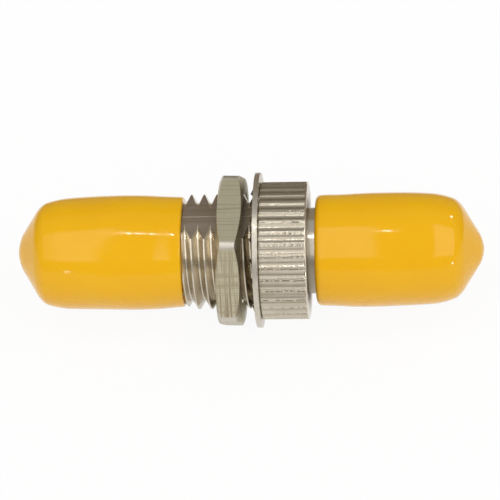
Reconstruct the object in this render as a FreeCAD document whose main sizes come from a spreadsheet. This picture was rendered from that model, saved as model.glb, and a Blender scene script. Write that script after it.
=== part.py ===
import FreeCAD, Part
import Sketcher
import math
import os

# Bulkhead adapter for two bayonet fibre plugs, with a vinyl dust cap on each end.
# X runs along the axis, with the threaded end at -X, and Z is up, where the D-flat and the keyways face.
# The origin is on the axis, in the collar face that the panel seats against. Sizes are in millimetres.

doc = FreeCAD.newDocument("st_fibre_adapter")
sheet = doc.addObject("Spreadsheet::Sheet", "dims")

SIZES = [
    # Threaded shank
    ("thread_diameter", 9.525),
    ("thread_length", 6.5),
    ("thread_lead_in", 0.45),
    ("thread_relief_width", 0.7),
    ("thread_relief_diameter", 8.0),
    ("flat_from_axis", 3.95),
    # Knurled collar
    ("collar_diameter", 11.4),
    ("collar_length", 3.78),
    ("collar_chamfer", 0.12),
    ("collar_web", 0.88),
    ("knurl_count", 36),
    ("knurl_depth", 0.24),
    ("knurl_groove_width", 0.58),
    ("knurl_root_width", 0.16),
    ("knurl_plain_rim", 0.24),
    # Bayonet barrels
    ("barrel_diameter", 7.15),
    ("barrel_cover", 10.45),
    ("lug_diameter", 1.5),
    ("lug_height", 0.55),
    ("lug_from_rim", 4.3),
    ("lug_edge", 0.15),
    ("keyway_width", 1.0),
    ("keyway_depth", 2.6),
    ("socket_diameter", 5.0),
    ("ferrule_hole_diameter", 2.9),
    ("retaining_lip", 2.1),
    ("lead_in", 0.35),
    ("edge_break", 0.2),
    # Joint between the two halves of the body
    ("spigot_diameter", 7.8),
    ("spigot_clearance", 0.01),
    ("spigot_end_gap", 0.1),
    # Split sleeve
    ("sleeve_length", 11.4),
    ("sleeve_bore", 2.5),
    ("sleeve_wall", 0.35),
    ("sleeve_slot", 0.5),
    ("sleeve_edge", 0.12),
    ("sleeve_float", 0.1),
    ("sleeve_end_play", 0.15),
    # Panel nut
    ("nut_across_flats", 12.0),
    ("nut_thickness", 2.03),
    ("nut_from_seat", 1.56),
    ("nut_clock_angle", 12.5),
    ("nut_chamfer_start", 0.1),
    ("nut_chamfer_angle", 27),
    ("nut_countersink", 0.25),
    ("thread_clearance", 0.05),
    # Lock washer
    ("washer_diameter", 12.85),
    ("washer_ring_width", 1.0),
    ("washer_thickness", 0.42),
    ("washer_standoff", 0.14),
    ("tooth_count", 18),
    ("tooth_width", 1.0),
    ("tooth_coining", 0.02),
    ("tooth_twist", 32),
    ("tooth_lean", 0.16),
    ("tooth_root_depth", 0.2),
    ("tooth_clearance", 0.1),
    # Dust caps
    ("cap_wall", 1.0),
    ("cap_grip_gap", 0.045),
    ("cap_lug_gap", 0.08),
    ("cap_belly", 0.115),
    ("cap_belly_from_mouth", 5.7),
    ("cap_lip_chamfer", 0.32),
    ("cap_shoulder_radius", 3.5),
    ("cap_cone_angle", 59),
    ("cap_nose_radius", 2.3),
    ("cap_nose_length", 3.23),
    ("cap_end_wall", 1.0),
    ("cap_hollow_tip_radius", 0.4),
    ("cap_seat_gap", 0.2),
    ("left_cap_gap", 0.05),
    ("right_cap_gap", 0.61),
    # How far a cutting profile stands clear of the surface it cuts
    ("cut_margin", 1.0),
]

for row, (alias, value) in enumerate(SIZES, start=1):
    sheet.set(f"A{row}", alias)
    sheet.set(f"B{row}", str(value))
    sheet.setAlias(f"B{row}", alias)
doc.recompute()

# Radii and stations along the axis, worked out from the sheet
THREAD_R = "dims.thread_diameter / 2"
COLLAR_R = "dims.collar_diameter / 2"
BARREL_R = "dims.barrel_diameter / 2"
LUG_TIP_R = f"({BARREL_R} + dims.lug_height)"
SOCKET_R = "dims.socket_diameter / 2"
HOLE_R = "dims.ferrule_hole_diameter / 2"
SPIGOT_R = "dims.spigot_diameter / 2"
SLEEVE_R = "(dims.sleeve_bore / 2 + dims.sleeve_wall)"
CAVITY_R = f"({SLEEVE_R} + dims.sleeve_float)"
LEFT_SHOULDER = "-dims.thread_length"
LEFT_RIM = "-(dims.thread_length + dims.left_cap_gap + dims.barrel_cover)"
RIGHT_RIM = "(dims.collar_length + dims.right_cap_gap + dims.barrel_cover)"
MIDDLE = f"(({LEFT_RIM} + {RIGHT_RIM}) / 2)"
CAVITY_HALF = "(dims.sleeve_length / 2 + dims.sleeve_end_play)"
LEFT_CAVITY_END = f"({MIDDLE} - {CAVITY_HALF})"
RIGHT_CAVITY_END = f"({MIDDLE} + {CAVITY_HALF})"
LEFT_SOCKET_FLOOR = f"({LEFT_CAVITY_END} - dims.retaining_lip)"
RIGHT_SOCKET_FLOOR = f"({RIGHT_CAVITY_END} + dims.retaining_lip)"
SPIGOT_END = "(dims.collar_length - dims.collar_web)"
CAP_BORE_R = f"({BARREL_R} + dims.cap_grip_gap)"
CAP_MOUTH_R = f"({CAP_BORE_R} + dims.cap_wall)"
CAP_FLOOR = "(dims.barrel_cover + dims.cap_seat_gap)"
CAP_LENGTH = f"({CAP_FLOOR} + dims.cap_nose_length)"


def number(expression):
    return float(sheet.evalExpression(expression))


def new_body(label):
    body = doc.addObject("PartDesign::Body", label)
    body.Label = label
    return body


def new_sketch(body, name, role):
    sketch = body.newObject("Sketcher::SketchObject", name)
    plane = next(p for p in body.Origin.OriginFeatures if p.Role == role)
    sketch.AttachmentSupport = [(plane, "")]
    sketch.MapMode = "FlatFace"
    return sketch


def bind(sketch, kind, expression, *geometry):
    # A dimension that takes its value from the sheet
    value = number(expression)
    if kind == "Angle":
        value = math.radians(value)
    index = sketch.addConstraint(Sketcher.Constraint(kind, *geometry, value))
    sketch.setExpression(f"Constraints[{index}]", expression)


def pin_point(sketch, geometry, end, x, y):
    bind(sketch, "DistanceX", x, -1, 1, geometry, end)
    bind(sketch, "DistanceY", y, -1, 1, geometry, end)


def polygon(sketch, corners):
    # A closed outline of straight edges, each corner placed by a pair of expressions
    points = [FreeCAD.Vector(number(x), number(y), 0) for x, y in corners]
    ring = list(zip(points, points[1:] + points[:1]))
    sketch.addGeometry([Part.LineSegment(a, b) for a, b in ring], False)
    for i in range(len(ring)):
        sketch.addConstraint(Sketcher.Constraint("Coincident", i, 2, (i + 1) % len(ring), 1))
    for i, (x, y) in enumerate(corners):
        pin_point(sketch, i, 1, x, y)


def turned(body, kind, sketch, name):
    # Revolution or Groove of a sketch about the X axis
    feature = body.newObject(f"PartDesign::{kind}", name)
    feature.Profile = sketch
    feature.ReferenceAxis = (sketch, ["H_Axis"])
    feature.Angle = 360
    return feature


def extruded(body, kind, sketch, name, length, side="One side", reverse=False):
    # Pad or Pocket of a sketch, as long as an expression says
    feature = body.newObject(f"PartDesign::{kind}", name)
    feature.Profile = sketch
    feature.SideType = side
    feature.Reversed = reverse
    feature.setExpression("Length", length)
    return feature


def circled(body, feature, name, axis, count):
    # Equal copies of a feature around the X axis
    pattern = body.newObject("PartDesign::PolarPattern", name)
    pattern.Originals = [feature]
    pattern.Axis = axis
    pattern.Angle = 360
    pattern.setExpression("Occurrences", count)
    body.Tip = pattern
    return pattern


def add_lugs(body, prefix, rim, inward):
    # Two bayonet lugs on the Y axis, as one bar through the barrel whose middle the bore then removes
    sketch = new_sketch(body, prefix + "_lug_sketch", "XZ_Plane")
    x = f"({rim} {inward} dims.lug_from_rim)"
    centre = FreeCAD.Vector(number(x), 0, 0)
    circle = Part.Circle(centre, FreeCAD.Vector(0, 0, 1), number("dims.lug_diameter / 2"))
    sketch.addGeometry(circle, False)
    pin_point(sketch, 0, 3, x, "0")
    bind(sketch, "Diameter", "dims.lug_diameter", 0)
    lugs = extruded(body, "Pad", sketch, prefix + "_lugs", f"2 * {LUG_TIP_R}", side="Symmetric")
    doc.recompute()
    tip = number(LUG_TIP_R)
    round_tips = [
        f"Edge{i}"
        for i, edge in enumerate(lugs.Shape.Edges, start=1)
        if edge.Closed and math.isclose(abs(edge.CenterOfMass.y), tip, abs_tol=1e-4)
    ]
    eased = body.newObject("PartDesign::Chamfer", prefix + "_lug_chamfer")
    eased.Base = (lugs, round_tips)
    eased.setExpression("Size", "dims.lug_edge")


def add_keyway(body, prefix, rim, inward):
    # The slot in the top of the barrel that takes the plug's key
    sketch = new_sketch(body, prefix + "_keyway_sketch", "XY_Plane")
    floor = f"({rim} {inward} dims.keyway_depth)"
    half = "dims.keyway_width / 2"
    polygon(sketch, [(rim, f"-{half}"), (floor, f"-{half}"), (floor, half), (rim, half)])
    extruded(body, "Pocket", sketch, prefix + "_keyway", BARREL_R, reverse=True)


def port_bore(rim, inward, socket_floor, cavity_end):
    # Corners of the stepped bore, from the sleeve's cavity out to the axis at the rim
    return [
        (cavity_end, CAVITY_R),
        (cavity_end, HOLE_R),
        (f"{socket_floor} {inward} dims.lead_in", HOLE_R),
        (socket_floor, f"{HOLE_R} + dims.lead_in"),
        (socket_floor, SOCKET_R),
        (f"{rim} {inward} dims.edge_break", SOCKET_R),
        (rim, f"{SOCKET_R} + dims.edge_break"),
        (rim, "0"),
    ]


def make_threaded_body():
    body = new_body("threaded_body")
    outline = new_sketch(body, "threaded_outline", "XZ_Plane")
    relief_r = "dims.thread_relief_diameter / 2"
    polygon(outline, [
        (LEFT_RIM, "0"),
        (LEFT_RIM, f"{BARREL_R} - dims.edge_break"),
        (f"{LEFT_RIM} + dims.edge_break", BARREL_R),
        (LEFT_SHOULDER, BARREL_R),
        (LEFT_SHOULDER, f"{THREAD_R} - dims.thread_lead_in"),
        (f"{LEFT_SHOULDER} + dims.thread_lead_in", THREAD_R),
        ("-dims.thread_relief_width", THREAD_R),
        ("-dims.thread_relief_width", relief_r),
        ("0", relief_r),
        ("0", SPIGOT_R),
        (f"{SPIGOT_END} - dims.edge_break", SPIGOT_R),
        (SPIGOT_END, f"{SPIGOT_R} - dims.edge_break"),
        (SPIGOT_END, "0"),
    ])
    turned(body, "Revolution", outline, "threaded_turning")
    add_lugs(body, "left", LEFT_RIM, "+")
    bore = new_sketch(body, "threaded_bore_outline", "XZ_Plane")
    start = [(SPIGOT_END, "0"), (SPIGOT_END, CAVITY_R)]
    polygon(bore, start + port_bore(LEFT_RIM, "+", LEFT_SOCKET_FLOOR, LEFT_CAVITY_END))
    turned(body, "Groove", bore, "threaded_bore")
    add_keyway(body, "left", LEFT_RIM, "+")
    # The flat that stops the adapter turning in a D-shaped panel hole
    flat = new_sketch(body, "flat_sketch", "XZ_Plane")
    above = f"{THREAD_R} + dims.cut_margin"
    polygon(flat, [
        (LEFT_SHOULDER, "dims.flat_from_axis"),
        ("0", "dims.flat_from_axis"),
        ("0", above),
        (LEFT_SHOULDER, above),
    ])
    extruded(body, "Pocket", flat, "flat", "2 * dims.thread_diameter", side="Symmetric")
    return body


def make_knurled_body():
    body = new_body("knurled_body")
    outline = new_sketch(body, "knurled_outline", "XZ_Plane")
    polygon(outline, [
        ("0", "0"),
        ("0", f"{COLLAR_R} - dims.collar_chamfer"),
        ("dims.collar_chamfer", COLLAR_R),
        ("dims.collar_length - dims.collar_chamfer", COLLAR_R),
        ("dims.collar_length", f"{COLLAR_R} - dims.collar_chamfer"),
        ("dims.collar_length", BARREL_R),
        (f"{RIGHT_RIM} - dims.edge_break", BARREL_R),
        (RIGHT_RIM, f"{BARREL_R} - dims.edge_break"),
        (RIGHT_RIM, "0"),
    ])
    turned(body, "Revolution", outline, "knurled_turning")
    add_lugs(body, "right", RIGHT_RIM, "-")
    bore = new_sketch(body, "knurled_bore_outline", "XZ_Plane")
    spigot_bore_r = f"{SPIGOT_R} + dims.spigot_clearance"
    spigot_floor = f"{SPIGOT_END} + dims.spigot_end_gap"
    start = [("0", "0"), ("0", spigot_bore_r), (spigot_floor, spigot_bore_r), (spigot_floor, CAVITY_R)]
    polygon(bore, start + port_bore(RIGHT_RIM, "-", RIGHT_SOCKET_FLOOR, RIGHT_CAVITY_END))
    turned(body, "Groove", bore, "knurled_bore")
    add_keyway(body, "right", RIGHT_RIM, "-")
    # Straight knurl: one groove at the top of the collar, repeated around it, short of the rear rim
    groove = new_sketch(body, "knurl_sketch", "YZ_Plane")
    root_r = f"{COLLAR_R} - dims.knurl_depth"
    # The groove's sides keep their slope up to the cutting margin above the collar
    top_half = (
        "(dims.knurl_groove_width / 2 + (dims.knurl_groove_width - dims.knurl_root_width)"
        " / 2 * dims.cut_margin / dims.knurl_depth)"
    )
    root_half = "dims.knurl_root_width / 2"
    polygon(groove, [
        (f"-{root_half}", root_r),
        (root_half, root_r),
        (top_half, f"{COLLAR_R} + dims.cut_margin"),
        (f"-{top_half}", f"{COLLAR_R} + dims.cut_margin"),
    ])
    cut = extruded(
        body, "Pocket", groove, "knurl_groove", "dims.collar_length - dims.knurl_plain_rim", reverse=True
    )
    circled(body, cut, "knurl", (groove, ["N_Axis"]), "dims.knurl_count")
    return body


def make_alignment_sleeve():
    body = new_body("alignment_sleeve")
    outline = new_sketch(body, "sleeve_outline", "XZ_Plane")
    left = f"({MIDDLE} - dims.sleeve_length / 2)"
    right = f"({MIDDLE} + dims.sleeve_length / 2)"
    bore_r = "dims.sleeve_bore / 2"
    polygon(outline, [
        (left, f"{bore_r} + dims.sleeve_edge"),
        (left, SLEEVE_R),
        (right, SLEEVE_R),
        (right, f"{bore_r} + dims.sleeve_edge"),
        (f"{right} - dims.sleeve_edge", bore_r),
        (f"{left} + dims.sleeve_edge", bore_r),
    ])
    turned(body, "Revolution", outline, "sleeve_tube")
    slot = new_sketch(body, "slot_sketch", "XY_Plane")
    half = "dims.sleeve_slot / 2"
    polygon(slot, [(left, f"-{half}"), (right, f"-{half}"), (right, half), (left, half)])
    extruded(body, "Pocket", slot, "slot", f"2 * {SLEEVE_R}", reverse=True)
    return body


def make_hex_nut():
    # Made with its panel face in the YZ plane, then moved along the thread and turned to its place
    body = new_body("hex_nut")
    hexagon = new_sketch(body, "hexagon_sketch", "YZ_Plane")
    corner_r = "dims.nut_across_flats / sqrt(3)"
    polygon(hexagon, [
        (f"{corner_r} * cos({60 * i} deg)", f"{corner_r} * sin({60 * i} deg)") for i in range(6)
    ])
    extruded(body, "Pad", hexagon, "hexagon", "dims.nut_thickness", reverse=True)
    # Both faces are chamfered to a cone that trims the six corners
    low_r = "(dims.nut_across_flats / 2 - dims.nut_chamfer_start)"
    high_r = f"({corner_r} + dims.cut_margin)"
    run = f"(({high_r} - {low_r}) * tan(dims.nut_chamfer_angle * 1 deg))"
    for name, face, sign in (("panel", "0", "-"), ("outer", "-dims.nut_thickness", "+")):
        chamfer = new_sketch(body, f"{name}_chamfer_sketch", "XZ_Plane")
        polygon(chamfer, [(face, low_r), (face, high_r), (f"{face} {sign} {run}", high_r)])
        turned(body, "Groove", chamfer, f"{name}_chamfer")
    bore = new_sketch(body, "nut_bore_outline", "XZ_Plane")
    bore_r = f"{THREAD_R} + dims.thread_clearance"
    polygon(bore, [
        ("0", "0"),
        ("0", f"{bore_r} + dims.nut_countersink"),
        ("-dims.nut_countersink", bore_r),
        ("-dims.nut_thickness + dims.nut_countersink", bore_r),
        ("-dims.nut_thickness", f"{bore_r} + dims.nut_countersink"),
        ("-dims.nut_thickness", "0"),
    ])
    turned(body, "Groove", bore, "nut_bore")
    body.Placement = FreeCAD.Placement(
        FreeCAD.Vector(), FreeCAD.Rotation(FreeCAD.Vector(1, 0, 0), number("dims.nut_clock_angle"))
    )
    body.setExpression("Placement.Base.x", "-dims.nut_from_seat")
    body.setExpression("Placement.Rotation.Angle", "dims.nut_clock_angle * 1 deg")
    return body


def make_lock_washer():
    body = new_body("lock_washer")
    ring = new_sketch(body, "ring_sketch", "XZ_Plane")
    outer_r = "dims.washer_diameter / 2"
    inner_r = f"({outer_r} - dims.washer_ring_width)"
    panel_face = "(-dims.washer_standoff - dims.washer_thickness)"
    seat_face = "-dims.washer_standoff"
    polygon(ring, [
        (panel_face, inner_r),
        (panel_face, outer_r),
        (seat_face, outer_r),
        (seat_face, inner_r),
    ])
    turned(body, "Revolution", ring, "ring")
    # One tooth, lofted from a section flat in the ring to a section twisted about the radius
    middle = "(-dims.washer_standoff - dims.washer_thickness / 2)"
    half_t = "(dims.washer_thickness / 2 - dims.tooth_coining)"
    half_w = "dims.tooth_width / 2"
    root = new_sketch(body, "tooth_root", "XY_Plane")
    root.setExpression("AttachmentOffset.Base.z", f"{inner_r} + dims.tooth_root_depth")
    polygon(root, [
        (f"{middle} - {half_t}", f"-{half_w}"),
        (f"{middle} + {half_t}", f"-{half_w}"),
        (f"{middle} + {half_t}", half_w),
        (f"{middle} - {half_t}", half_w),
    ])
    tip = new_sketch(body, "tooth_tip", "XY_Plane")
    tip.setExpression("AttachmentOffset.Base.z", f"{THREAD_R} + dims.tooth_clearance")
    cos_t = "cos(dims.tooth_twist * 1 deg)"
    sin_t = "sin(dims.tooth_twist * 1 deg)"
    corners = []
    for across, along in (("-", "-"), ("+", "-"), ("+", "+"), ("-", "+")):
        u = f"({across}{half_t})"
        v = f"({along}{half_w})"
        x = f"{middle} - dims.tooth_lean + {u} * {cos_t} - {v} * {sin_t}"
        y = f"{u} * {sin_t} + {v} * {cos_t}"
        corners.append((x, y))
    polygon(tip, corners)
    tooth = body.newObject("PartDesign::AdditiveLoft", "tooth")
    tooth.Profile = root
    tooth.Sections = [tip]
    tooth.Ruled = True
    circled(body, tooth, "teeth", (ring, ["H_Axis"]), "dims.tooth_count")
    return body


def cap_outline(sketch):
    # Mouth, chamfered lip, barrelled side, shoulder, cone and round nose, closed along the axis
    length = number(CAP_LENGTH)
    mouth_r = number(CAP_MOUTH_R)
    lip = number("dims.cap_lip_chamfer")
    belly = number("dims.cap_belly")
    belly_x = number("dims.cap_belly_from_mouth")
    cone = math.radians(number("dims.cap_cone_angle"))
    nose_r = number("dims.cap_nose_radius")
    shoulder_r = number("dims.cap_shoulder_radius")
    side_r = (math.pow(belly_x - lip, 2) + math.pow(belly, 2)) / (2 * belly)
    across = FreeCAD.Vector(0, 0, 1)

    def arc(x, y, radius, start, end):
        return Part.ArcOfCircle(Part.Circle(FreeCAD.Vector(x, y, 0), across, radius), start, end)

    # A first guess near the tangent outline, which the constraints then make exact
    normal = math.pi / 2 - cone
    nose_x = length - nose_r
    shoulder_y = mouth_r + belly - shoulder_r
    shoulder_x = nose_x + (nose_r - shoulder_r - shoulder_y * math.sin(normal)) / math.cos(normal)
    cone_top = FreeCAD.Vector(
        shoulder_x + shoulder_r * math.cos(normal), shoulder_y + shoulder_r * math.sin(normal), 0
    )
    cone_foot = FreeCAD.Vector(nose_x + nose_r * math.cos(normal), nose_r * math.sin(normal), 0)
    lean = math.asin((shoulder_x - belly_x) / side_r)
    back = math.asin((belly_x - lip) / side_r)
    mouth, rim, side, shoulder, slope, nose, axis = range(7)
    sketch.addGeometry([
        Part.LineSegment(FreeCAD.Vector(0, 0, 0), FreeCAD.Vector(0, mouth_r - lip, 0)),
        Part.LineSegment(FreeCAD.Vector(0, mouth_r - lip, 0), FreeCAD.Vector(lip, mouth_r, 0)),
        arc(belly_x, mouth_r + belly - side_r, side_r, math.pi / 2 - lean, math.pi / 2 + back),
        arc(shoulder_x, shoulder_y, shoulder_r, normal, math.pi / 2 - lean),
        Part.LineSegment(cone_foot, cone_top),
        arc(nose_x, 0, nose_r, 0, normal),
        Part.LineSegment(FreeCAD.Vector(length, 0, 0), FreeCAD.Vector(0, 0, 0)),
    ], False)
    join = Sketcher.Constraint
    sketch.addConstraint([
        join("Coincident", mouth, 1, -1, 1),
        join("Coincident", mouth, 2, rim, 1),
        join("Coincident", rim, 2, side, 2),
        join("Tangent", side, 1, shoulder, 2),
        join("Tangent", shoulder, 1, slope, 2),
        join("Tangent", slope, 1, nose, 2),
        join("Coincident", nose, 1, axis, 1),
        join("Coincident", axis, 2, mouth, 1),
        join("PointOnObject", nose, 3, -1),
    ])
    pin_point(sketch, mouth, 2, "0", f"{CAP_MOUTH_R} - dims.cap_lip_chamfer")
    pin_point(sketch, rim, 2, "dims.cap_lip_chamfer", CAP_MOUTH_R)
    reach = "(dims.cap_belly_from_mouth - dims.cap_lip_chamfer)"
    bind(sketch, "Radius", f"({reach}^2 + dims.cap_belly^2) / (2 * dims.cap_belly)", side)
    bind(sketch, "DistanceX", "dims.cap_belly_from_mouth", -1, 1, side, 3)
    bind(sketch, "Radius", "dims.cap_shoulder_radius", shoulder)
    bind(sketch, "Radius", "dims.cap_nose_radius", nose)
    pin_point(sketch, axis, 1, CAP_LENGTH, "0")
    bind(sketch, "Angle", "(180 - dims.cap_cone_angle) * 1 deg", slope)


def make_dust_cap(label, mouth, turn):
    # Made with its mouth in the YZ plane and its tip at +X, then turned about Z onto its barrel
    body = new_body(label)
    outline = new_sketch(body, label + "_outline", "XZ_Plane")
    cap_outline(outline)
    turned(body, "Revolution", outline, label + "_form")
    # The hollow: a straight bore round the barrel and a conical end inside the nose
    hollow = new_sketch(body, label + "_hollow_outline", "XZ_Plane")
    top = f"({CAP_LENGTH} - dims.cap_end_wall)"
    polygon(hollow, [
        ("0", "0"),
        ("0", CAP_BORE_R),
        (CAP_FLOOR, CAP_BORE_R),
        (top, "dims.cap_hollow_tip_radius"),
        (top, "0"),
    ])
    turned(body, "Groove", hollow, label + "_hollow")
    # Two channels where the soft wall is stretched over the lugs as the cap slides on
    channel = new_sketch(body, label + "_channel_sketch", "YZ_Plane")
    reach = f"({LUG_TIP_R} + dims.cap_lug_gap)"
    half = "(dims.lug_diameter / 2 + dims.cap_lug_gap)"
    polygon(channel, [
        (f"-{reach}", f"-{half}"),
        (reach, f"-{half}"),
        (reach, half),
        (f"-{reach}", half),
    ])
    length = f"dims.barrel_cover - dims.lug_from_rim + {half}"
    extruded(body, "Pocket", channel, label + "_channels", length, reverse=True)
    body.Placement = FreeCAD.Placement(FreeCAD.Vector(), FreeCAD.Rotation(FreeCAD.Vector(0, 0, 1), turn))
    body.setExpression("Placement.Base.x", mouth)
    return body


sub_parts = [
    make_threaded_body(),
    make_knurled_body(),
    make_alignment_sleeve(),
    make_hex_nut(),
    make_lock_washer(),
    make_dust_cap("left_dust_cap", f"{LEFT_SHOULDER} - dims.left_cap_gap", 180),
    make_dust_cap("right_dust_cap", "dims.collar_length + dims.right_cap_gap", 0),
]
doc.recompute()

failed = [obj.Name for obj in doc.Objects if "Invalid" in obj.State or "Error" in obj.State]
if failed:
    raise RuntimeError(f"these objects did not build: {failed}")
for part in sub_parts:
    if part.Shape.isNull() or not part.Shape.isValid() or len(part.Shape.Solids) != 1:
        raise RuntimeError(f"{part.Label} is not one valid solid")

os.makedirs("parts", exist_ok=True)
for part in sub_parts:
    part.Shape.exportStep(f"parts/{part.Label}.step")
    box = part.Shape.BoundBox
    print(f"{part.Label}: {part.Shape.Volume:.2f} mm3, x {box.XMin:.3f} to {box.XMax:.3f}, "
          f"y {box.YMin:.3f} to {box.YMax:.3f}, z {box.ZMin:.3f} to {box.ZMax:.3f}")
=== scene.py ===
import math
import random

import bmesh
import bpy
from mathutils import Matrix, Quaternion, Vector, noise


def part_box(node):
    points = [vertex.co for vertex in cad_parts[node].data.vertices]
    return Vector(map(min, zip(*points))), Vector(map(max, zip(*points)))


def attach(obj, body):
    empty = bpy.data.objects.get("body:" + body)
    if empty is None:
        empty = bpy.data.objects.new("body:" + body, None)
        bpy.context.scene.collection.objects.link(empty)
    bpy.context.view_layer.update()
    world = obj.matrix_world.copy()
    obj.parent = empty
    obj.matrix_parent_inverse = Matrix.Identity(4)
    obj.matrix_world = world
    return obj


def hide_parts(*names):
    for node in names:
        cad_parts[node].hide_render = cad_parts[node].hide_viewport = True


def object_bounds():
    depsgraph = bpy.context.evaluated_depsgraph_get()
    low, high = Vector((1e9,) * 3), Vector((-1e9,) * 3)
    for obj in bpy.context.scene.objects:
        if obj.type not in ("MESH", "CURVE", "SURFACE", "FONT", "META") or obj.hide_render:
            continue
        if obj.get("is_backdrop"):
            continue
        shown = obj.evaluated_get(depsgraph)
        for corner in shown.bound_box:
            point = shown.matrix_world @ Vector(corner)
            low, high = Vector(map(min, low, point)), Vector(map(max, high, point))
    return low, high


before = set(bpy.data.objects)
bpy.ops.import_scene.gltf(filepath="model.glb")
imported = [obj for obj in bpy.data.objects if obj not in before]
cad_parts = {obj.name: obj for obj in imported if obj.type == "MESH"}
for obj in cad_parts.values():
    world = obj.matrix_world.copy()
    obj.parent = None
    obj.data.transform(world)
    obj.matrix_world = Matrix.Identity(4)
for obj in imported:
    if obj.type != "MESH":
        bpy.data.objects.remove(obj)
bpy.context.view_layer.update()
scene = bpy.context.scene

mm = 0.001  # sizes are written in millimetres, Blender works in metres
mergeGap = 0.0008 * mm  # points closer than this are joined
cutGap = mergeGap / 4  # finer, so that a cut keeps its short edges
touching = 0.01  # closer than this, in millimetres, counts as on a surface
sharpAngle = math.radians(28)


def spanOf(node):  # lowest and highest corner of a CAD node, in millimetres
    low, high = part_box(node)
    return low / mm, high / mm


def aroundAxis(co):  # angle from +Y towards +Z and distance from the axis, in degrees and millimetres
    return math.degrees(math.atan2(co.z, co.y)) % 360, math.hypot(co.y, co.z) / mm


def awayFromAxis(angle):  # direction across the axis, from +Y towards +Z in degrees
    return Vector((0, math.cos(math.radians(angle)), math.sin(math.radians(angle))))


def setRadius(vert, radius):
    scale = radius * mm / math.hypot(vert.co.y, vert.co.z)
    vert.co.y *= scale
    vert.co.z *= scale


def fade(value, low, high):  # 0 below low, 1 above high, smooth between
    t = min(max((value - low) / (high - low), 0), 1)
    return t * t * (3 - 2 * t)


def drawProfile(bm, points, closed=False):  # a wire of (x, radius) in the plane above the axis
    verts = [bm.verts.new((x * mm, 0, r * mm)) for x, r in points]
    ends = verts[1:] + verts[:1] if closed else verts[1:]
    edges = [bm.edges.new(pair) for pair in zip(verts, ends)]
    return verts, edges


def roundCorner(bm, x, radius, offset, segments):  # rounds the wire's corner nearest to a point
    point = Vector((x, 0, radius)) * mm
    vert = min(bm.verts, key=lambda vert: (vert.co - point).length)
    bmesh.ops.bevel(
        bm, geom=[vert], affect="VERTICES", offset=offset * mm, offset_type="OFFSET",
        segments=segments, profile=0.5, material=-1,
    )


def turnProfile(bm, geom, steps):  # a full turn about the axis
    bmesh.ops.spin(
        bm, geom=geom, cent=(0, 0, 0), axis=(1, 0, 0), dvec=(0, 0, 0), angle=math.tau, steps=steps,
        use_merge=True,
    )


def allGeom(bm):
    return bm.verts[:] + bm.edges[:] + bm.faces[:]


def finishMesh(bm, name):
    bmesh.ops.remove_doubles(bm, verts=bm.verts, dist=mergeGap)
    bmesh.ops.recalc_face_normals(bm, faces=bm.faces)
    for face in bm.faces:
        face.smooth = True
    for edge in bm.edges:
        edge.smooth = edge.calc_face_angle(0) < sharpAngle
    mesh = bpy.data.meshes.new(name)
    bm.to_mesh(mesh)
    bm.free()
    piece = bpy.data.objects.new(name, mesh)
    scene.collection.objects.link(piece)
    return piece


def dress(piece, material, body, node):
    piece.data.materials.clear()
    piece.data.materials.append(material)
    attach(piece, body)
    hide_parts(node)
    print("made", piece.name, len(piece.data.polygons), "faces")


def mark(piece, name, amountAt):  # a value on each vertex, for the material
    layer = piece.data.attributes.new(name, "FLOAT", "POINT")
    for vert in piece.data.vertices:
        layer.data[vert.index].value = amountAt(vert.co)


def combine(bm, tool, operation):  # joins or cuts a closed mesh with another one, and drops that one
    base = finishMesh(bm, "base")
    other = finishMesh(tool, "tool")
    modifier = base.modifiers.new("combine", "BOOLEAN")
    modifier.operation = operation
    modifier.solver = "MANIFOLD"
    modifier.object = other
    bpy.context.view_layer.update()
    result = bpy.data.meshes.new_from_object(base.evaluated_get(bpy.context.evaluated_depsgraph_get()))
    bm = bmesh.new()
    bm.from_mesh(result)
    for used in (base, other):
        usedMesh = used.data
        bpy.data.objects.remove(used)
        bpy.data.meshes.remove(usedMesh)
    bpy.data.meshes.remove(result)
    return bm


# Materials


def hexColor(text):  # sRGB hex to linear
    parts = [int(text[i:i + 2], 16) / 255 for i in (1, 3, 5)]
    return [c / 12.92 if c <= 0.04045 else ((c + 0.055) / 1.055) ** 2.4 for c in parts] + [1]


def perSize(size):  # texture scale at which one feature is that many millimetres
    return 1 / (size * mm)


noiseSpan = {"From Min": 0.3, "From Max": 0.7}  # where most of a noise texture's values lie


# a mix node's inputs share names and go by number: 0 factor, 2 and 3 values, 6 and 7 colours
def addNode(tree, kind, settings, links=None):
    node = tree.nodes.new(kind)
    sockets = [key for key in settings if isinstance(key, int) or key in node.inputs]
    for key, value in settings.items():
        if key not in sockets:
            setattr(node, key, value)
    for key in sockets:
        node.inputs[key].default_value = settings[key]
    for key, source in (links or {}).items():
        tree.links.new(source, node.inputs[key])
    return node


def emptyMaterial(name):
    material = bpy.data.materials.new(name)
    material.use_nodes = True
    material.node_tree.nodes.clear()
    return material, material.node_tree


def newMaterial(name):  # with the coordinates for its textures
    material, tree = emptyMaterial(name)
    place = addNode(tree, "ShaderNodeTexCoord", {}).outputs["Object"]
    return material, tree, place


def closeMaterial(tree, settings, links):
    shader = addNode(tree, "ShaderNodeBsdfPrincipled", settings, links)
    addNode(tree, "ShaderNodeOutputMaterial", {}, {"Surface": shader.outputs["BSDF"]})


# Bright nickel over turned brass: warm mirror-like metal, with rings left by the lathe tool
# the dirt colour paints real dirt and painted shade alike
nickelLook = {
    "bright": "#E1D8C8", "dull": "#CABFA9", "dirtAndShade": "#62553F", "dirtRoughness": 0.5,
    "cloud": 1.6, "ring": 0.11, "ringLength": 25.0, "ringDepth": 0.004, "roughness": (0.12, 0.26),
}


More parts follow.
